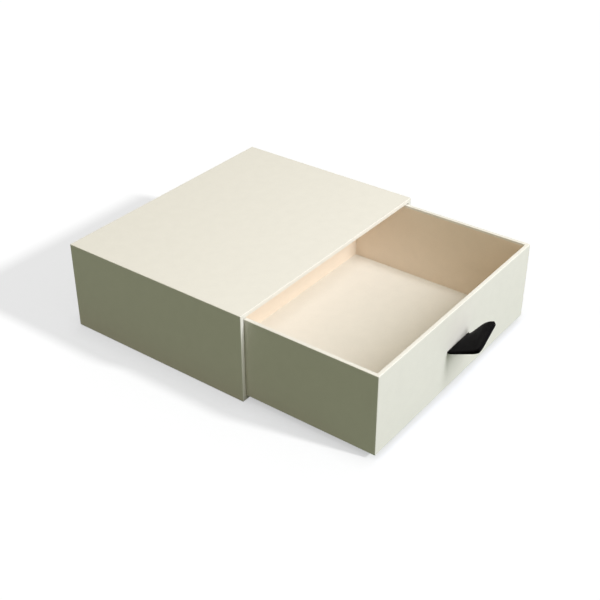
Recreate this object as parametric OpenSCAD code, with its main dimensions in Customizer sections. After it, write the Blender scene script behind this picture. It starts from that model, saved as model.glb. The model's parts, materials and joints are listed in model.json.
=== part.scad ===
// Sliding drawer gift box: a paper-wrapped greyboard sleeve with a closed back, and a
// paper-wrapped tray that slides out of it by a ribbon pull.
// Millimetres. The drawer opens towards -Y, +Z is up, and the origin is the centre of
// the face that the sleeve stands on.

/* [Sleeve] */
// Outside width of the sleeve
sleeve_w = 150; // [110:1:200]
// Outside depth of the sleeve, from its mouth to its back
sleeve_d = 114; // [90:1:160]
// Outside height of the sleeve
sleeve_h = 50; // [36:1:80]
// Thickness of the sleeve's greyboard
sleeve_board_t = 2; // [1.5:0.1:2.5]
// How far the outer paper turns in at the mouth
turn_in = 15; // [8:1:30]
// Margin of bare wrap round the papers on the back and the base
patch_margin = 2; // [1:0.5:6]
// Gap where the two ends of the wrap meet under the base
seam_gap = 0.4; // [0.2:0.1:1]

/* [Drawer] */
// Thickness of the drawer's greyboard
drawer_board_t = 1.8; // [1.2:0.1:2.2]
// Sliding gap at each side of the drawer
side_gap = 0.4; // [0.2:0.1:1]
// Gap over the drawer's rim
top_gap = 0.6; // [0.3:0.1:2]
// Running gap under the drawer
run_gap = 0.15; // [0.05:0.05:0.5]
// Gap behind the drawer when it is pushed home
back_gap = 2; // [0.5:0.5:6]
// How far the drawer is pulled out at rest
drawer_out = 75; // [0:1:90]
// How far below the rim the wall lining stops
lining_drop = 1.2; // [0.5:0.1:4]

/* [Paper and tape] */
// Thickness of one layer of paper
paper_t = 0.12; // [0.1:0.01:0.2]
// Thickness of the glue and stay tape under the wrap
glue_t = 0.08; // [0.05:0.01:0.15]
// Width of each leg of the stay tapes
tape_leg = 12; // [6:1:16]

/* [Ribbon pull] */
// Width of the ribbon
ribbon_w = 20; // [12:0.5:30]
// Thickness of the ribbon
ribbon_t = 0.35; // [0.2:0.05:0.6]
// Play at each end of the slot that the ribbon passes through
slot_play = 0.8; // [0.7:0.1:2]
// Height of the slot
slot_h = 1.4; // [1.2:0.1:2.2]
// How far the ribbon sits to the right in its slot
ribbon_offset = -0.6; // [-0.6:0.1:0.6]
// How far the loop stands out from the front
loop_reach = 19; // [12:1:30]
// Middle radius of the loop's outer fold
loop_fold_r = 0.6; // [0.5:0.1:1.2]
// How far the loop rises from level
loop_rise_angle = 34; // [0:1:60]
// How much more the right edge rises than the middle, and the left edge less
loop_twist_angle = 7; // [0:1:12]
// Length of each ribbon tail glued behind the front board
tail_l = 14; // [8:1:16]

/* [Hidden] */

eps = 0.01;                 // how far a cutting solid passes the face it cuts
strand_gap = 0.2;           // between the ribbon's two strands in the slot
pull_gap = 0.05;            // between the loop's root and the drawer's front
recess_play = 0.05;         // room over the tails in their pressed recess
recess_side = 0.3;          // room round the tails' edges there
round_fn = 32;

paper_colour = [0.90, 0.885, 0.82];
lining_colour = [0.95, 0.905, 0.83];
greyboard_colour = [0.62, 0.57, 0.50];
tape_colour = [0.80, 0.70, 0.53];
ribbon_colour = [0.09, 0.08, 0.085];

// Layers: a board lies one skin inside the outer face, and its inner face is papered.
skin = paper_t + glue_t;
fold_r = 3 * paper_t;       // outer corner of a folded paper; its inner corner is sharp

// Sleeve, as [low, high] corners of nested boxes
mouth_y = -sleeve_d / 2;
back_y = sleeve_d / 2;
wrap_lo = [-sleeve_w / 2, mouth_y, paper_t];
wrap_hi = [sleeve_w / 2, back_y - paper_t, sleeve_h];
shell_lo = wrap_lo + skin * [1, 1, 1];
shell_hi = wrap_hi - skin * [1, 1, 1];
core_lo = [shell_lo.x + sleeve_board_t, mouth_y, shell_lo.z + sleeve_board_t];
core_hi = [shell_hi.x - sleeve_board_t, shell_hi.y - sleeve_board_t, shell_hi.z - sleeve_board_t];
bay_lo = core_lo + paper_t * [1, 0, 1];
bay_hi = core_hi - paper_t * [1, 1, 1];

// Drawer, at its rest place
drawer_w = bay_hi.x - bay_lo.x - 2 * side_gap;
drawer_d = bay_hi.y - mouth_y - back_gap;
drawer_h = bay_hi.z - bay_lo.z - run_gap - top_gap;
front_y = mouth_y - drawer_out;
tray_lo = [-drawer_w / 2, front_y, bay_lo.z + run_gap];
tray_hi = tray_lo + [drawer_w, drawer_d, drawer_h];
rack_lo = tray_lo + skin * [1, 1, 1];
rack_hi = tray_hi - skin * [1, 1, 1];
base_top = rack_lo.z + drawer_board_t;
well_lo = [rack_lo.x + drawer_board_t, rack_lo.y + drawer_board_t, base_top];
well_hi = [rack_hi.x - drawer_board_t, rack_hi.y - drawer_board_t, tray_hi.z];
papered_lo = well_lo + paper_t * [1, 1, 0];
papered_hi = well_hi - paper_t * [1, 1, 0];

// Ribbon
slot_w = ribbon_w + 2 * slot_play;
slot_z = tray_lo.z + drawer_h / 2;
root_r = (strand_gap + ribbon_t) / 2;
root_outer_r = root_r + ribbon_t / 2;
hinge = [front_y - pull_gap - root_outer_r, slot_z];
loop_l = loop_reach - (front_y - hinge.x) - loop_fold_r - ribbon_t / 2;
recess_deep = ribbon_t + recess_play;
recess_y = well_lo.y - recess_deep;
loop_steps = 8;
root_steps = 6;
fold_steps = 10;

// A box between its low and high corners
module block(low, high) {
    translate(low) cube(high - low);
}

// A rectangle between two corners, with its own corners rounded
module rounded_rect(low, high, r) {
    size = high - low;
    translate(low + [r, 0]) square(size - [2 * r, 0]);
    translate(low + [0, r]) square(size - [0, 2 * r]);
    for (x = [low.x + r, high.x - r], y = [low.y + r, high.y - r])
        translate([x, y]) circle(r, $fn = round_fn);
}

// The sleeve's outer box: a rounded section drawn back along +Y
module sleeve_outer() {
    translate([0, wrap_hi.y, 0]) rotate([90, 0, 0])
        linear_extrude(wrap_hi.y - wrap_lo.y)
            rounded_rect([wrap_lo.x, wrap_lo.z], [wrap_hi.x, wrap_hi.z], fold_r);
}

// The drawer's outer box: a rounded plan drawn up
module drawer_outer() {
    translate([0, 0, tray_lo.z])
        linear_extrude(drawer_h)
            rounded_rect([tray_lo.x, tray_lo.y], [tray_hi.x, tray_hi.y], fold_r);
}

// The slot through the drawer's front, between two depths
module slot(y0, y1) {
    block([-slot_w / 2, y0, slot_z - slot_h / 2], [slot_w / 2, y1, slot_z + slot_h / 2]);
}

// ---- Sleeve boards: top and bottom run full width, the sides stand between them ----

module sleeve_top_board() {
    color(greyboard_colour)
        block([shell_lo.x, shell_lo.y, core_hi.z], shell_hi);
}

module sleeve_bottom_board() {
    color(greyboard_colour)
        block(shell_lo, [shell_hi.x, shell_hi.y, core_lo.z]);
}

module sleeve_left_board() {
    color(greyboard_colour)
        block([shell_lo.x, shell_lo.y, core_lo.z], [core_lo.x, shell_hi.y, core_hi.z]);
}

module sleeve_right_board() {
    color(greyboard_colour)
        block([core_hi.x, shell_lo.y, core_lo.z], [shell_hi.x, shell_hi.y, core_hi.z]);
}

module sleeve_back_board() {
    color(greyboard_colour)
        block([core_lo.x, core_hi.y, core_lo.z], [core_hi.x, shell_hi.y, core_hi.z]);
}

// Stay tapes over the four long edges, under the wrap
module sleeve_edge_tapes() {
    low = shell_lo - glue_t * [1, 0, 1];
    high = shell_hi + glue_t * [1, 0, 1];
    color(tape_colour)
        difference() {
            block(low, high);
            block(shell_lo - [0, eps, 0], shell_hi + [0, eps, 0]);
            block([low.x + tape_leg, low.y - eps, low.z - eps],
                  [high.x - tape_leg, high.y + eps, high.z + eps]);
            block([low.x - eps, low.y - eps, low.z + tape_leg],
                  [high.x + eps, high.y + eps, high.z - tape_leg]);
        }
}

// ---- Sleeve papers ----

// One sheet round the boards, over their front edges and into the mouth
module sleeve_wrap() {
    color(paper_colour)
        union() {
            difference() {
                sleeve_outer();
                block(wrap_lo + paper_t * [1, 1, 1], wrap_hi - paper_t * [1, 1, 1]);
                block([bay_lo.x, mouth_y - eps, bay_lo.z], [bay_hi.x, mouth_y + turn_in, bay_hi.z]);
                block([-seam_gap / 2, mouth_y - eps, 0], [seam_gap / 2, wrap_hi.y + eps, shell_lo.z]);
            }
            difference() {
                block(core_lo, [core_hi.x, mouth_y + turn_in, core_hi.z]);
                block([bay_lo.x, mouth_y - eps, bay_lo.z],
                      [bay_hi.x, mouth_y + turn_in + eps, bay_hi.z]);
            }
        }
}

// Covers the wrap's folds on the back
module sleeve_back_paper() {
    color(paper_colour)
        block([wrap_lo.x + patch_margin, wrap_hi.y, wrap_lo.z + patch_margin],
              [wrap_hi.x - patch_margin, back_y, wrap_hi.z - patch_margin]);
}

// Covers the wrap's seam under the base, and is what the box stands on
module sleeve_base_paper() {
    color(paper_colour)
        block([wrap_lo.x + patch_margin, mouth_y + patch_margin, 0],
              [wrap_hi.x - patch_margin, wrap_hi.y - patch_margin, paper_t]);
}

// Lines the four long walls behind the turn-in
module sleeve_lining() {
    y0 = mouth_y + turn_in;
    color(lining_colour)
        difference() {
            block([core_lo.x, y0, core_lo.z], [core_hi.x, bay_hi.y, core_hi.z]);
            block([bay_lo.x, y0 - eps, bay_lo.z], [bay_hi.x, bay_hi.y + eps, bay_hi.z]);
        }
}

module sleeve_back_lining() {
    color(lining_colour)
        block([core_lo.x, bay_hi.y, core_lo.z], core_hi);
}

// ---- Drawer boards: the walls stand on the base, the sides between front and back ----

module drawer_base_board() {
    color(greyboard_colour)
        block(rack_lo, [rack_hi.x, rack_hi.y, base_top]);
}

// Slotted for the ribbon, and pressed in behind for its tails
module drawer_front_board() {
    half_w = ribbon_w / 2 + recess_side;
    half_h = root_outer_r + tail_l + recess_side;
    color(greyboard_colour)
        difference() {
            block([rack_lo.x, rack_lo.y, base_top], [rack_hi.x, well_lo.y, rack_hi.z]);
            slot(rack_lo.y - eps, well_lo.y + eps);
            block([ribbon_offset - half_w, recess_y, slot_z - half_h],
                  [ribbon_offset + half_w, well_lo.y + eps, slot_z + half_h]);
        }
}

module drawer_back_board() {
    color(greyboard_colour)
        block([rack_lo.x, well_hi.y, base_top], rack_hi);
}

module drawer_left_board() {
    color(greyboard_colour)
        block([rack_lo.x, well_lo.y, base_top], [well_lo.x, well_hi.y, rack_hi.z]);
}

module drawer_right_board() {
    color(greyboard_colour)
        block([well_hi.x, well_lo.y, base_top], [rack_hi.x, well_hi.y, rack_hi.z]);
}

// Stay tapes up the four outer corners, under the wrap
module drawer_corner_tapes() {
    low = rack_lo - glue_t * [1, 1, 0];
    high = rack_hi + glue_t * [1, 1, 0];
    color(tape_colour)
        difference() {
            block(low, high);
            block(rack_lo - [0, 0, eps], rack_hi + [0, 0, eps]);
            block([low.x + tape_leg, low.y - eps, low.z - eps],
                  [high.x - tape_leg, high.y + eps, high.z + eps]);
            block([low.x - eps, low.y + tape_leg, low.z - eps],
                  [high.x + eps, high.y - tape_leg, high.z + eps]);
        }
}

// ---- Drawer papers ----

// One sheet under the base, up the walls, over the rim and down inside
module drawer_wrap() {
    color(paper_colour)
        difference() {
            drawer_outer();
            difference() {
                block(tray_lo + paper_t * [1, 1, 1], tray_hi - paper_t * [1, 1, 1]);
                block(well_lo, well_hi);
            }
            block(papered_lo, papered_hi + [0, 0, eps]);
            slot(tray_lo.y - eps, rack_lo.y);
        }
}

module drawer_floor_lining() {
    color(lining_colour)
        block(papered_lo, [papered_hi.x, papered_hi.y, base_top + paper_t]);
}

// Four walls of lining on the turned-in wrap, from the floor to just under the rim
module drawer_wall_lining() {
    low = [papered_lo.x, papered_lo.y, base_top + paper_t];
    high = [papered_hi.x, papered_hi.y, tray_hi.z - lining_drop];
    color(lining_colour)
        difference() {
            block(low, high);
            block(low + [paper_t, paper_t, -eps], high - [paper_t, paper_t, -eps]);
        }
}

// ---- Ribbon ----

// The fixed ends of the ribbon: each strand passes in through the slot and turns away
module ribbon_tails() {
    x0 = ribbon_offset - ribbon_w / 2;
    x1 = ribbon_offset + ribbon_w / 2;
    color(ribbon_colour)
        for (side = [0, 1])
            translate([0, 0, slot_z]) mirror([0, 0, side]) {
                block([x0, front_y, strand_gap / 2],
                      [x1, recess_y + ribbon_t, strand_gap / 2 + ribbon_t]);
                block([x0, recess_y, strand_gap / 2],
                      [x1, recess_y + ribbon_t, root_outer_r + tail_l]);
            }
}

// Points round a circle's arc
function arc(centre, r, from, to, steps) =
    [for (i = [0:steps]) let (a = from + (to - from) * i / steps) centre + r * [cos(a), sin(a)]];

// Half angle between the loop's two faces, which open out to the fold
loop_splay = asin((loop_fold_r - root_r) / loop_l);

// The loop seen from its edge, as reach and height: round the root, then round the fold
function loop_outline(offset) = concat(
    arc([0, 0], root_r + offset, 90 + loop_splay, 270 - loop_splay, root_steps),
    arc([loop_l, 0], loop_fold_r + offset, -90 - loop_splay, 90 + loop_splay, fold_steps));

// The same outline turned up about the hinge at one place across the ribbon
function loop_ring(across, offset) =
    let (rise = loop_rise_angle + loop_twist_angle * across, x = ribbon_offset + across * ribbon_w / 2)
    [for (p = loop_outline(offset))
        [x, hinge.x - p.x * cos(rise) + p.y * sin(rise), hinge.y + p.x * sin(rise) + p.y * cos(rise)]];

// Two triangles for the quadrilateral a, b, c, d
function quad(a, b, c, d) = [[a, b, c], [a, c, d]];

// The ribbon outside the slot: a closed band with a slit between its faces
module ribbon_pull() {
    across = [for (i = [0:loop_steps]) 2 * i / loop_steps - 1];
    n = root_steps + fold_steps + 2;
    inner = n * (loop_steps + 1);
    points = concat(
        [for (u = across) each loop_ring(u, ribbon_t / 2)],
        [for (u = across) each loop_ring(u, -ribbon_t / 2)]);
    walls = [for (i = [0:loop_steps - 1], j = [0:n - 1])
        let (k = (j + 1) % n, a = i * n + j, b = i * n + k, c = a + n, d = b + n)
        each concat(quad(a, b, d, c), quad(inner + a, inner + c, inner + d, inner + b))];
    ends = [for (j = [0:n - 1])
        let (k = (j + 1) % n, last = n * loop_steps)
        each concat(quad(j, inner + j, inner + k, k),
                    quad(last + j, last + k, inner + last + k, inner + last + j))];
    color(ribbon_colour)
        polyhedron(points, concat(walls, ends), convexity = 6);
}

sleeve_top_board();
sleeve_bottom_board();
sleeve_left_board();
sleeve_right_board();
sleeve_back_board();
sleeve_edge_tapes();
sleeve_wrap();
sleeve_back_paper();
sleeve_base_paper();
sleeve_lining();
sleeve_back_lining();
drawer_base_board();
drawer_front_board();
drawer_back_board();
drawer_left_board();
drawer_right_board();
drawer_corner_tapes();
drawer_wrap();
drawer_wall_lining();
drawer_floor_lining();
ribbon_tails();
ribbon_pull();
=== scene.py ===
# Sliding drawer gift box: finishes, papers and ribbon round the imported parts.
# Metres. The drawer opens towards -Y, and the sleeve stands on z = 0.
import json
import math

import bmesh
import bpy
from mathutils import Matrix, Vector


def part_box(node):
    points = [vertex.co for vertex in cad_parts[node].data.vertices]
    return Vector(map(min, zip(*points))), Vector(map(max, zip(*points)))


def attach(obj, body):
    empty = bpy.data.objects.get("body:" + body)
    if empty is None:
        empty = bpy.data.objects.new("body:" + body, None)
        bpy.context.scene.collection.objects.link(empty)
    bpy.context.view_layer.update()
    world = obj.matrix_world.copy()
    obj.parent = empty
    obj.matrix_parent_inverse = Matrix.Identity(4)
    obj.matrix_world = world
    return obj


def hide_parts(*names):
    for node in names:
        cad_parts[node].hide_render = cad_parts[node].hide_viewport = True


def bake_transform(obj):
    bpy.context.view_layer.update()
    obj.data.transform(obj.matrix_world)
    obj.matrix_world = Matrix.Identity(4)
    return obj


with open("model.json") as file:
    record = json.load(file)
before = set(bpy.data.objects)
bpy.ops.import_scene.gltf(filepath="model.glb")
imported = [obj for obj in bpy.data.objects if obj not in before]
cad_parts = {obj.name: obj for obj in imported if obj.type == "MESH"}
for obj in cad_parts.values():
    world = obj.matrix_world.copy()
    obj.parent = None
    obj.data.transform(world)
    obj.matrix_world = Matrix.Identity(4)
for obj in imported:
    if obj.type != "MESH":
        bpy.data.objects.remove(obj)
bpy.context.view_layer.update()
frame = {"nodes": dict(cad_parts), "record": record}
mm = 0.001
bpy.context.scene.view_settings.view_transform = "Standard"


# Adds a camera or lamp that stands off from its target and looks at it
def addAimed(data, target, azimuth, elevation, distance):
    a, e = math.radians(azimuth), math.radians(elevation)
    back = Vector((math.sin(a) * math.cos(e), -math.cos(a) * math.cos(e), math.sin(e)))
    made = bpy.data.objects.new(data.name, data)
    made.location = Vector(target) + back * distance
    made.rotation_mode = "QUATERNION"
    made.rotation_quaternion = (-back).to_track_quat("-Z", "Y")
    bpy.context.collection.objects.link(made)
    return made


cameraSettings = {
    "target": (0.0157, -0.0239, 0.0),
    "azimuth": -53.28,             # degrees round from straight in front of the drawer
    "elevation": 32.70,
    "distance": 0.6025,
    "lens": 64.4,
    "sensor": 36,
    "nearest": 10 * mm,            # nothing closer is drawn
}


def makeCamera(settings):
    data = bpy.data.cameras.new("camera")
    data.lens = settings["lens"]
    data.sensor_width = settings["sensor"]
    data.clip_start = settings["nearest"]
    bpy.context.scene.camera = addAimed(
        data, settings["target"], settings["azimuth"], settings["elevation"], settings["distance"])


softboxSettings = {
    "target": (0, -0.04, 0.02),
    "azimuth": 5,
    "elevation": 44.5,
    "distance": 1.4,
    "size": (0.35, 1.0),           # across and up
    "watts": 22.1,
    "colour": (0.90, 0.93, 0.97),
}


def makeSoftbox(settings):
    data = bpy.data.lights.new("front softbox", "AREA")
    data.shape = "RECTANGLE"
    data.size, data.size_y = settings["size"]
    data.energy = settings["watts"]
    data.color = settings["colour"]
    return addAimed(
        data, settings["target"], settings["azimuth"], settings["elevation"], settings["distance"])


sunSettings = {
    "azimuth": 13,
    "elevation": 30.7,
    "angle": 5.0,                  # how wide it looks, which softens its shadow
    "strength": 2.4,
}


def makeSun(settings, colour):
    data = bpy.data.lights.new("floor sun", "SUN")
    data.angle = math.radians(settings["angle"])
    data.energy = settings["strength"]
    data.color = colour
    return addAimed(data, (0, 0, 0), settings["azimuth"], settings["elevation"], 0)


# The sun lights only the floor and the softbox only the box, so that the floor
# stays one even white with a single clear shadow on it
def linkLights(sun, softbox, floor):
    lit = bpy.data.collections.new("lit by the sun")
    lit.objects.link(floor)
    sun.light_linking.receiver_collection = lit
    unlit = bpy.data.collections.new("not lit by the softbox")
    unlit.objects.link(floor)
    unlit.collection_objects[0].light_linking.link_state = "EXCLUDE"
    softbox.light_linking.receiver_collection = unlit


# Links a socket, or sets it, with colours written without their alpha
def feed(tree, socket, value):
    if isinstance(value, bpy.types.NodeSocket):
        tree.links.new(value, socket)
    elif socket.type == "RGBA":
        socket.default_value = (*value, 1.0)
    else:
        socket.default_value = value


def addNode(tree, kind, inputs=None, **properties):
    made = tree.nodes.new(kind)
    for name, value in properties.items():
        setattr(made, name, value)
    for name, value in (inputs or {}).items():
        feed(tree, made.inputs[name], value)
    return made


def maths(tree, operation, a, b=0.0):
    made = addNode(tree, "ShaderNodeMath", operation=operation)
    feed(tree, made.inputs[0], a)
    feed(tree, made.inputs[1], b)
    return made.outputs[0]


def mixColours(tree, factor, a, b):
    made = addNode(tree, "ShaderNodeMix", data_type="RGBA")
    for place, value in ((0, factor), (6, a), (7, b)):    # 6 and 7 are its two colours
        feed(tree, made.inputs[place], value)
    return made.outputs[2]


def joinShaders(tree, kind, a, b, inputs=None):
    made = addNode(tree, kind, inputs)
    for socket, value in zip(list(made.inputs)[-2:], (a, b)):
        tree.links.new(value, socket)
    return made.outputs[0]


def noise(tree, coords, scale, detail=3, roughness=0.55, stretch=None):
    if stretch:
        inputs = {"Vector": coords, "Scale": stretch}
        coords = addNode(tree, "ShaderNodeMapping", inputs).outputs[0]
    inputs = {"Vector": coords, "Scale": scale, "Detail": detail, "Roughness": roughness}
    return addNode(tree, "ShaderNodeTexNoise", inputs).outputs["Fac"]


def remap(tree, value, low, high, newLow, newHigh):
    inputs = {"Value": value, "From Min": low, "From Max": high,
              "To Min": newLow, "To Max": newHigh}
    return addNode(tree, "ShaderNodeMapRange", inputs).outputs[0]


def startMaterial(name):
    material = bpy.data.materials.new(name)
    material.use_nodes = True
    return material, material.node_tree, material.node_tree.nodes["Principled BSDF"]


def objectCoords(tree):
    return addNode(tree, "ShaderNodeTexCoord").outputs["Object"]


def toned(colour, factor):
    return tuple(c * factor for c in colour)


# Joins colour, roughness and relief to the shader; bump is its strength and depth
def dressShader(tree, shader, colour, roughness, height, bump):
    inputs = {"Strength": bump[0], "Distance": bump[1], "Height": height}
    normal = addNode(tree, "ShaderNodeBump", inputs).outputs[0]
    for name, value in (("Base Color", colour), ("Roughness", roughness), ("Normal", normal)):
        tree.links.new(value, shader.inputs[name])


# 1 for the rays to which the floor and the room show as white
def seenRays(tree):
    path = addNode(tree, "ShaderNodeLightPath").outputs
    seen = maths(tree, "MAXIMUM", path["Is Camera Ray"], path["Is Glossy Ray"])
    return maths(tree, "MAXIMUM", seen, path["Is Transmission Ray"])


roomSettings = {
    "ambient": (1.0, 0.93, 0.665),
    "ambientStrength": 0.3835,
    "floorReach": 3.0,                     # from the middle of the floor to its edges
    "floorBounce": (0.045, 0.14, 0.10),    # what the floor sends back to the box
    "floorGlow": 0.58,                     # with floorShown, brings the lit floor to white
    "floorShown": 0.574,
    "contactReach": 12 * mm,               # how far from the box the floor darkens
    "contactShade": 0.83,                  # its glow right at the box
    "contactOpen": 0.4,                    # share of open air at which it is that dark
}


def makeRoom(settings):
    world = bpy.data.worlds.new("room")
    bpy.context.scene.world = world
    world.use_nodes = True
    tree = world.node_tree
    ambient = tree.nodes["Background"]
    feed(tree, ambient.inputs["Color"], settings["ambient"])
    feed(tree, ambient.inputs["Strength"], settings["ambientStrength"])
    white = addNode(tree, "ShaderNodeBackground", {"Color": (1, 1, 1), "Strength": 1.0})
    shown = joinShaders(tree, "ShaderNodeMixShader", ambient.outputs[0], white.outputs[0],
                        {"Fac": seenRays(tree)})
    tree.links.new(shown, tree.nodes["World Output"].inputs["Surface"])


# White where it is seen, a weak tinted bounce where it lights the box
def floorMaterial(settings):
    material, tree, shader = startMaterial("floor white")
    tree.nodes.remove(shader)
    grey = [settings["floorShown"] / c for c in settings["ambient"]]    # under the tinted light
    matt = addNode(tree, "ShaderNodeBsdfDiffuse", {"Color": grey})
    near = addNode(tree, "ShaderNodeAmbientOcclusion", {"Distance": settings["contactReach"]})
    shade = remap(tree, near.outputs["AO"], settings["contactOpen"], 1,
                  settings["contactShade"], 1)
    strength = maths(tree, "MULTIPLY", shade, settings["floorGlow"])
    glow = addNode(tree, "ShaderNodeEmission", {"Strength": strength})
    seen = joinShaders(tree, "ShaderNodeAddShader", matt.outputs[0], glow.outputs[0])
    bounce = addNode(tree, "ShaderNodeBsdfDiffuse", {"Color": settings["floorBounce"]})
    shown = joinShaders(tree, "ShaderNodeMixShader", bounce.outputs[0], seen,
                        {"Fac": seenRays(tree)})
    tree.links.new(shown, tree.nodes["Material Output"].inputs["Surface"])
    return material


def makeFloor(settings):
    shape = bmesh.new()
    bmesh.ops.create_grid(shape, x_segments=1, y_segments=1, size=settings["floorReach"])
    floor = finishPiece("floor", shape, floorMaterial(settings))
    return floor


paperSettings = {
    "outer": (0.820, 0.790, 0.735),
    # one lining paper in two tones: the walls more golden as painted warm shade, the floor paler as
    # painted light
    "shadedWallLining": (0.885, 0.766, 0.640),
    "litFloorLining": (0.802, 0.765, 0.692),
    "cloudScale": 160,
    "cloudTones": (0.985, 1.012),    # darkest and lightest, against the paper's colour
    "fibreScale": 2600,
    "fibreStretch": (1, 0.35, 1),
    "fibreTone": 0.8,
    "fibreShare": 0.40,              # how far the darkest fibres go towards that tone
    "toothScale": 9000,
    "toothShare": 0.4,               # of the relief; the fibres make the rest
    "highlightWearScale": 240,
    "highlightWearPale": 0.45,                # how far the painted fold highlight and wear go towards white
    "foldHighlightWear": 0.03,                # how far a fold goes towards that painted highlight and wear
    "roughness": (0.57, 0.68),
    "specular": 0.2,
    "bump": (0.7, 0.06 * mm),
}


# Uncoated wrapping paper: cloudy formation, short fibres, painted paler along its folds as
# highlight and wear
def paperMaterial(name, colour, settings):
    material, tree, shader = startMaterial(name)
    coords = objectCoords(tree)
    cloud = noise(tree, coords, settings["cloudScale"], 4)
    fibre = noise(tree, coords, settings["fibreScale"], 4, 0.65, settings["fibreStretch"])
    tooth = noise(tree, coords, settings["toothScale"], 2)
    dark, light = [toned(colour, factor) for factor in settings["cloudTones"]]
    tone = mixColours(tree, remap(tree, cloud, 0.3, 0.7, 0, 1), dark, light)
    flecks = remap(tree, fibre, 0.58, 0.75, 0, settings["fibreShare"])
    tone = mixColours(tree, flecks, tone, toned(colour, settings["fibreTone"]))
    # painted highlight and wear: each fold is painted paler, in patches
    fold = addNode(tree, "ShaderNodeAttribute", attribute_name="fold").outputs["Fac"]
    patches = remap(tree, noise(tree, coords, settings["highlightWearScale"]), 0.35, 0.65, 0.55, 1)
    amount = maths(tree, "MULTIPLY", maths(tree, "MULTIPLY", fold, settings["foldHighlightWear"]), patches)
    highlightWear = tuple(c + (1 - c) * settings["highlightWearPale"] for c in colour)
    tone = mixColours(tree, amount, tone, highlightWear)
    height = maths(tree, "ADD",
                   maths(tree, "MULTIPLY", fibre, 1 - settings["toothShare"]),
                   maths(tree, "MULTIPLY", tooth, settings["toothShare"]))
    rough = remap(tree, fibre, 0.3, 0.7, *settings["roughness"])
    dressShader(tree, shader, tone, rough, height, settings["bump"])
    shader.inputs["Specular IOR Level"].default_value = settings["specular"]
    return material


boardSettings = {
    "colour": (0.33, 0.29, 0.235),
    "pale": (0.55, 0.50, 0.42),
    "pulpScale": 420,
    "pulpStretch": (1, 0.5, 1),
    "paleShare": 0.5,                # how pale the palest pulp is
    "speck": (0.14, 0.11, 0.085),
    "speckScale": 1900,
    "speckStretch": (1, 0.3, 1),
    "speckShare": 0.8,               # how dark the darkest specks are
    "roughness": (0.82, 0.95),
    "specular": 0.2,
    "bump": (0.5, 0.08 * mm),
}


# Greyboard: recycled pulp with dark and pale flecks
def boardMaterial(settings):
    material, tree, shader = startMaterial("greyboard")
    coords = objectCoords(tree)
    pulp = noise(tree, coords, settings["pulpScale"], 4, 0.65, settings["pulpStretch"])
    specks = noise(tree, coords, settings["speckScale"], 2, 0.5, settings["speckStretch"])
    paler = remap(tree, pulp, 0.3, 0.7, 0, settings["paleShare"])
    tone = mixColours(tree, paler, settings["colour"], settings["pale"])
    darker = remap(tree, specks, 0.64, 0.72, 0, settings["speckShare"])
    tone = mixColours(tree, darker, tone, settings["speck"])
    rough = remap(tree, pulp, 0.3, 0.7, *settings["roughness"])
    dressShader(tree, shader, tone, rough, pulp, settings["bump"])
    shader.inputs["Specular IOR Level"].default_value = settings["specular"]
    return material


tapeSettings = {
    "colour": (0.60, 0.44, 0.25),
    "ribScale": 900,
    "ribStretch": (0.2, 0.2, 2.5),
    "ribTone": 0.82,
    "roughness": (0.5, 0.65),
    "bump": (0.3, 0.04 * mm),
}


# Gummed brown paper tape, ribbed across
def tapeMaterial(settings):
    material, tree, shader = startMaterial("stay tape")
    rib = noise(tree, objectCoords(tree), settings["ribScale"], 3, 0.6, settings["ribStretch"])
    tone = mixColours(tree, rib, toned(settings["colour"], settings["ribTone"]), settings["colour"])
    rough = remap(tree, rib, 0.3, 0.7, *settings["roughness"])
    dressShader(tree, shader, tone, rough, rib, settings["bump"])
    return material


paperLow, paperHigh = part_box("sleeve_base_paper")
paper = paperHigh.z - paperLow.z    # every paper on the box is this thick
sharpFold = 0.5         # radians; an edge that turns by more is a fold
roundSteps = 4          # faces round a fold
nearSide = 0.1 * mm     # a face this near a side of its box lies on that side
facing = 0.9            # how squarely a face has to look forwards to be cut for the slot
flatWeight = 90         # how strongly wide faces rule the shading at their edges


def blockShape(low, high):
    shape = bmesh.new()
    bmesh.ops.create_cube(shape, size=1.0)
    bmesh.ops.scale(shape, vec=high - low, verts=shape.verts)
    bmesh.ops.translate(shape, vec=(low + high) / 2, verts=shape.verts)
    shape.normal_update()
    return shape


# Opens a face of a box: a lip of that width, then walls that go in by that depth
def openMouth(shape, direction, lip, depth):
    direction = Vector(direction)
    mouth = max(shape.faces, key=lambda face: face.calc_center_median().dot(direction))
    bmesh.ops.inset_region(shape, faces=[mouth], thickness=lip, use_even_offset=True)
    moved = bmesh.ops.extrude_face_region(shape, geom=[mouth])["geom"]
    verts = [g for g in moved if isinstance(g, bmesh.types.BMVert)]
    caps = [g for g in moved if isinstance(g, bmesh.types.BMFace)]
    bmesh.ops.translate(shape, vec=-direction * depth, verts=verts)
    bmesh.ops.delete(shape, geom=caps, context="FACES_ONLY")
    bmesh.ops.delete(shape, geom=[mouth], context="FACES_ONLY")
    shape.normal_update()


def cutAcross(shape, axis, place, faces=None):
    normal = Vector((0, 0, 0))
    normal[axis] = 1
    faces = list(faces or shape.faces)
    edges = dict.fromkeys(e for face in faces for e in face.edges)    # each once, in order
    verts = dict.fromkeys(v for face in faces for v in face.verts)
    bmesh.ops.bisect_plane(shape, geom=[*faces, *edges, *verts], dist=1e-7,
                           plane_co=normal * place, plane_no=normal)


# Rounds every fold of a folded sheet and marks the rounded faces, then cuts the panels
# a little way in, where the folds' painted highlight and wear have faded out
def roundFolds(shape, low, high, radius, fade):
    mark = shape.faces.layers.int.new("foldFace")
    folds = [e for e in shape.edges if len(e.link_faces) == 2 and e.calc_face_angle() > sharpFold]
    made = bmesh.ops.bevel(shape, geom=folds, offset=radius, offset_type="OFFSET",
                           segments=roundSteps, profile=0.5, affect="EDGES", material=-1,
                           clamp_overlap=True)
    for face in made["faces"]:
        face[mark] = 1
    shape.normal_update()
    inset = radius + fade
    for axis in range(3):
        cutAcross(shape, axis, low[axis] + inset)
        cutAcross(shape, axis, high[axis] - inset)
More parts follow.
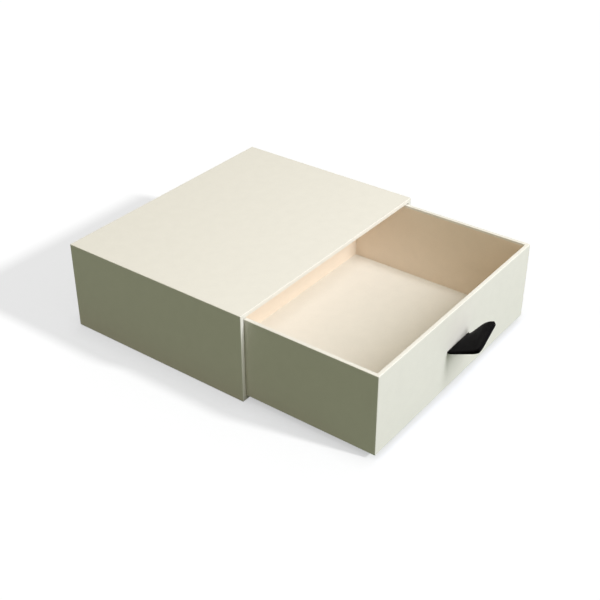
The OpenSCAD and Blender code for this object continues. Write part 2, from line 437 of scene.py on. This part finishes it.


# Writes how folded each point is, so that the paper can be painted paler there, as highlight and
# wear
def markFolds(shape):
    mark = shape.faces.layers.int.get("foldFace")
    amount = shape.verts.layers.float.new("fold")
    for vert in shape.verts:
        vert[amount] = 1.0 if any(face[mark] for face in vert.link_faces) else 0.0


def facesOnLowSide(shape, axis, low):
    return [face for face in shape.faces if face.calc_center_median()[axis] < low[axis] + nearSide]


def finishPiece(name, shape, material):
    mesh = bpy.data.meshes.new(name)
    for face in shape.faces:
        face.smooth = True
    shape.to_mesh(mesh)
    shape.free()
    mesh.materials.append(material)
    piece = bpy.data.objects.new(name, mesh)
    bpy.context.collection.objects.link(piece)
    return piece


# Gives a sheet its thickness: offset -1 puts it inside the surface, 0 half on each side
def thicken(piece, thickness, offset):
    solid = piece.modifiers.new("thickness", "SOLIDIFY")
    solid.thickness = thickness
    solid.offset = offset
    solid.use_even_offset = True


def finishWrap(name, shape, material):
    markFolds(shape)
    piece = finishPiece(name, shape, material)
    thicken(piece, paper, -1)
    piece.modifiers.new("flat faces", "WEIGHTED_NORMAL").weight = flatWeight
    return piece


sleeveSettings = {
    "fold": 0.28 * mm,
    "fade": 0.9 * mm,      # width beside a fold in which its painted highlight and wear go
    "seam": 0.4 * mm,      # left open under the base, where the base paper covers it
}


def makeSleeveWrap(settings, material):
    low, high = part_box("sleeve_wrap")
    liningLow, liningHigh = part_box("sleeve_lining")
    lip = high.x - liningHigh.x + paper
    shape = blockShape(low, high)
    openMouth(shape, (0, -1, 0), lip, liningLow.y - low.y)
    roundFolds(shape, low, high, settings["fold"], settings["fade"])
    for side in (-1, 1):
        cutAcross(shape, 0, side * settings["seam"] / 2)
    under = [face for face in facesOnLowSide(shape, 2, low)
             if abs(face.calc_center_median().x) < settings["seam"] / 2]
    bmesh.ops.delete(shape, geom=under, context="FACES")
    piece = finishWrap("sleeveWrap", shape, material)
    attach(piece, "sleeve")
    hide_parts("sleeve_wrap")


drawerSettings = {
    "fold": 0.28 * mm,
    "fade": 0.9 * mm,
    "slotWidth": 21.6 * mm,    # cut in the front for the ribbon
    "slotHeight": 1.4 * mm,
}


def makeDrawerWrap(settings, material):
    low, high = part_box("drawer_wrap")
    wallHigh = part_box("drawer_wall_lining")[1]
    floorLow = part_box("drawer_floor_lining")[0]
    shape = blockShape(low, high)
    openMouth(shape, (0, 0, 1), high.x - wallHigh.x, high.z - floorLow.z)
    roundFolds(shape, low, high, settings["fold"], settings["fade"])
    width, height = settings["slotWidth"], settings["slotHeight"]
    middle = (low.z + high.z) / 2
    for axis, centre, size in ((0, 0, width), (2, middle, height)):
        for side in (-1, 1):
            front = [face for face in facesOnLowSide(shape, 1, low) if face.normal.y < -facing]
            cutAcross(shape, axis, centre + side * size / 2, front)
    slot = [face for face in facesOnLowSide(shape, 1, low)
            if abs(face.calc_center_median().x) < width / 2
            and abs(face.calc_center_median().z - middle) < height / 2]
    bmesh.ops.delete(shape, geom=slot, context="FACES")
    piece = finishWrap("drawerWrap", shape, material)
    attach(piece, "drawer")
    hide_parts("drawer_wrap")


ribbonSettings = {
    "thickness": 0.35 * mm,
    "strand": 0.275 * mm,         # from the loop's middle to each layer's, in the slot
    "bend": 0.45 * mm,            # radius where a tail turns off behind the front board
    "bendSteps": 4,
    "tailSteps": 12,
    "wallGaps": (0.4 * mm, 0.3 * mm),    # at the two ends of the straight run through the wall
    "reach": 18.7 * mm,           # of the loop's middle line, slot to fold
    "step": 0.5 * mm,
    "root": 3.2 * mm,             # the stretch that bends with the joint, in finer steps
    "rootStep": 0.2 * mm,
    "blend": 2.5 * mm,            # the stretch over which it takes on the joint's turn
    "foldRadius": 0.75 * mm,      # of the loop's outer fold, to the ribbon's middle
    "foldSteps": 8,
    "across": 20,
    # climb in degrees at points along the loop, in mm from the slot out
    "leftClimb": ((0, 0), (0.8, 10), (2, 21), (4, 25), (14.5, 25.5), (17, 40), (20, 44)),
    "rightClimb": ((0, 12), (0.6, 20), (1.5, 40), (4, 50), (8.5, 52),
                   (11.5, 48), (13.5, 42), (17, 24), (20, 16)),
    "climbStep": 0.25 * mm,
    "climbSpare": 2 * mm,         # by which the climb is worked out past the reach
    # how far each corner of the loop is drawn in, over that share of the width
    "leftCorner": (1.0 * mm, 0.14),
    "rightCorner": (0.7 * mm, 0.08),
    "crown": 1.3 * mm,            # how far the middle arches up just outside the slot
    "crownFrom": 1.3 * mm,        # out from the panel, where the arch is full
    "crownTo": 13 * mm,           # and where it has gone
    "colour": (0.0028, 0.0025, 0.0030),
    "ribPitch": 0.55 * mm,
    "threadPitch": 0.28 * mm,
    "threadShare": 0.35,          # a thread's height against a rib's
    "ribTone": 1.9,
    "wearTone": 2.6,
    "wearShare": 0.3,             # how far the most rubbed places go towards that tone
    "wearScale": 300,
    "roughness": (0.42, 0.55),
    "specular": 0.025,
    "bump": (0.6, 0.06 * mm),
}


# Grosgrain-like satin: ribs across the ribbon and fine threads along it
def ribbonMaterial(settings):
    material, tree, shader = startMaterial("black ribbon")
    weave = addNode(tree, "ShaderNodeUVMap", uv_map="weave").outputs[0]
    parts = addNode(tree, "ShaderNodeSeparateXYZ", {"Vector": weave}).outputs
    turn = 2 * math.pi
    ribs = maths(tree, "MULTIPLY", parts["Y"], turn / settings["ribPitch"])
    threads = maths(tree, "MULTIPLY", parts["X"], turn / settings["threadPitch"])
    thread = maths(tree, "MULTIPLY", maths(tree, "SINE", threads), settings["threadShare"])
    height = maths(tree, "ADD", maths(tree, "SINE", ribs), thread)
    wear = noise(tree, weave, settings["wearScale"])
    raised = remap(tree, height, -1.3, 1.3, 0, 1)
    ribTone = toned(settings["colour"], settings["ribTone"])
    tone = mixColours(tree, raised, settings["colour"], ribTone)
    rubbed = remap(tree, wear, 0.4, 0.7, 0, settings["wearShare"])
    tone = mixColours(tree, rubbed, tone, toned(settings["colour"], settings["wearTone"]))
    rough = remap(tree, wear, 0.3, 0.7, *settings["roughness"])
    dressShader(tree, shader, tone, rough, height, settings["bump"])
    shader.inputs["Specular IOR Level"].default_value = settings["specular"]
    return material


def between(knots, place):
    for (a, low), (b, high) in zip(knots, knots[1:]):
        if place <= b:
            share = max(0.0, (place - a) / (b - a))
            return low + (high - low) * share
    return knots[-1][1]


def easeStep(low, high, value):
    share = min(1.0, max(0.0, (value - low) / (high - low)))
    return share * share * (3 - 2 * share)


# One edge of the loop, step by step: how far out and up it has come, and its climb
def climbLine(knots, length, step):
    out, up, line = 0.0, 0.0, [(0.0, 0.0, math.radians(knots[0][1]))]
    for i in range(math.ceil(length / step)):
        climb = math.radians(between(knots, (i + 0.5) * step / mm))
        out, up = out + math.cos(climb) * step, up + math.sin(climb) * step
        line.append((out, up, climb))
    return line


# The ribbon's middle line laid straight: down a tail, out of the slot, round and back
def ribbonPath(settings, tail, faceY, tailY):
    strand, bend = settings["strand"], settings["bend"]
    reach, fold = settings["reach"], settings["foldRadius"]
    points = []
    for i in range(settings["tailSteps"]):
        points.append((tailY, tail + (strand + bend - tail) * i / settings["tailSteps"]))
    for i in range(settings["bendSteps"] + 1):
        turn = math.radians(90 * i / settings["bendSteps"])
        y, z = tailY - bend * (1 - math.cos(turn)), strand + bend * (1 - math.sin(turn))
        points.append((y, z))
    start, end = settings["wallGaps"]
    points += [(tailY - bend - start, strand), (faceY + end, strand)]
    out = 0.0
    while out < reach - settings["step"] / 2:
        points.append((faceY - out, strand + (fold - strand) * out / reach))
        out += settings["rootStep"] if out < settings["root"] else settings["step"]
    for i in range(settings["foldSteps"] + 1):
        turn = math.radians(90 - 90 * i / settings["foldSteps"])
        points.append((faceY - reach - fold * math.cos(turn), fold * math.sin(turn)))
    return points + [(y, -z) for y, z in reversed(points[:-1])]


# The straight ribbon, swept across from one edge, with its weave laid out in metres
def straightRibbon(path, left, width, across):
    shape = bmesh.new()
    along = shape.verts.layers.float.new("along")    # each point's place along the ribbon
    row = [shape.verts.new((left, y, z)) for y, z in path]
    for vert, last in zip(row[1:], row):
        vert[along] = last[along] + (vert.co - last.co).length
    total = row[-1][along]
    edges = [shape.edges.new(pair) for pair in zip(row, row[1:])]
    for _ in range(across):
        made = bmesh.ops.extrude_edge_only(shape, edges=edges)["geom"]
        edges = [g for g in made if isinstance(g, bmesh.types.BMEdge)]
        verts = [g for g in made if isinstance(g, bmesh.types.BMVert)]
        bmesh.ops.translate(shape, vec=(width / across, 0, 0), verts=verts)
    weave = shape.loops.layers.uv.new("weave")
    for face in shape.faces:
        for loop in face.loops:
            loop[weave].uv = (loop.vert.co.x - left, loop.vert[along])
    return shape, total


# Bends the loop up from its slot, each edge by its own climb
def bendLoop(shape, settings, left, width, faceY):
    step = settings["climbStep"]
    lines = [climbLine(settings[side], settings["reach"] + settings["climbSpare"], step)
             for side in ("leftClimb", "rightClimb")]
    corners = (settings["leftCorner"], settings["rightCorner"])
    arched, level = settings["crownFrom"], settings["crownTo"]
    for vert in shape.verts:
        share = (vert.co.x - left) / width
        out = faceY - vert.co.y
        if out <= 0:
            continue
        crown = settings["crown"] * 4 * share * (1 - share) * easeStep(0, arched, out)
        crown *= 1 - easeStep(arched, level, out)
        for (draw, drawnShare), place in zip(corners, (share, 1 - share)):
            drawn = draw * max(0.0, 1 - place / drawnShare) ** 2
            out -= drawn * (out / settings["reach"]) ** 6    # only near the fold
        place = min(out / step, len(lines[0]) - 1.001)       # always has a next step
        i, part = int(place), place - int(place)
        spots = [[a + (b - a) * part for a, b in zip(line[i], line[i + 1])] for line in lines]
        y, z, climb = [a + (b - a) * share for a, b in zip(*spots)]
        off = vert.co.z
        vert.co.y = faceY - y + off * math.sin(climb)
        vert.co.z = z + off * math.cos(climb) + crown


def makeRibbon(settings):
    low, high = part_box("ribbon_tails")
    joints = {joint["name"]: joint for joint in frame["record"]["behaviour"]["joints"]}
    hinge = Vector(joints["ribbon_bend"]["pos_m"])
    faceY = low.y
    width = high.x - low.x
    path = ribbonPath(settings, high.z - hinge.z, faceY, high.y - settings["thickness"] / 2)
    shape, total = straightRibbon(path, low.x, width, settings["across"])
    bendLoop(shape, settings, low.x, width, faceY)
    for vert in shape.verts:
        vert.co.z += hinge.z
    bmesh.ops.recalc_face_normals(shape, faces=shape.faces)
    piece = finishPiece("ribbon", shape, ribbonMaterial(settings))
    thicken(piece, settings["thickness"], 0)
    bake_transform(piece)
    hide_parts("ribbon_pull", "ribbon_tails")
    print("ribbon cut length", round(total / mm, 1), "mm")


makeCamera(cameraSettings)
softbox = makeSoftbox(softboxSettings)
makeRoom(roomSettings)
floor = makeFloor(roomSettings)
sun = makeSun(sunSettings, roomSettings["ambient"])
linkLights(sun, softbox, floor)
print("camera, lamps and floor made")

outerPaper = paperMaterial("outer paper", paperSettings["outer"], paperSettings)
# the lining paper in shaded and lit copies: painted warm shade on the walls, painted light on the
# floor
shadedWallLining = paperMaterial("shaded wall lining paper", paperSettings["shadedWallLining"], paperSettings)
litFloorLining = paperMaterial("lit floor lining paper", paperSettings["litFloorLining"], paperSettings)
slotFinishes = {
    "outer_paper": outerPaper,
    "lining_paper": shadedWallLining,
    "greyboard": boardMaterial(boardSettings),
    "stay_tape": tapeMaterial(tapeSettings),
}
nodeFinishes = {"drawer_floor_lining": litFloorLining}
for part in frame["record"]["subparts"]:
    finish = nodeFinishes.get(part["node"]) or slotFinishes.get(part["material_slot"])
    if finish:
        for each in frame["nodes"][part["node"]].material_slots:
            each.material = finish
print("finishes set")

makeSleeveWrap(sleeveSettings, outerPaper)
makeDrawerWrap(drawerSettings, outerPaper)
print("wraps folded")
makeRibbon(ribbonSettings)
print("ribbon threaded")
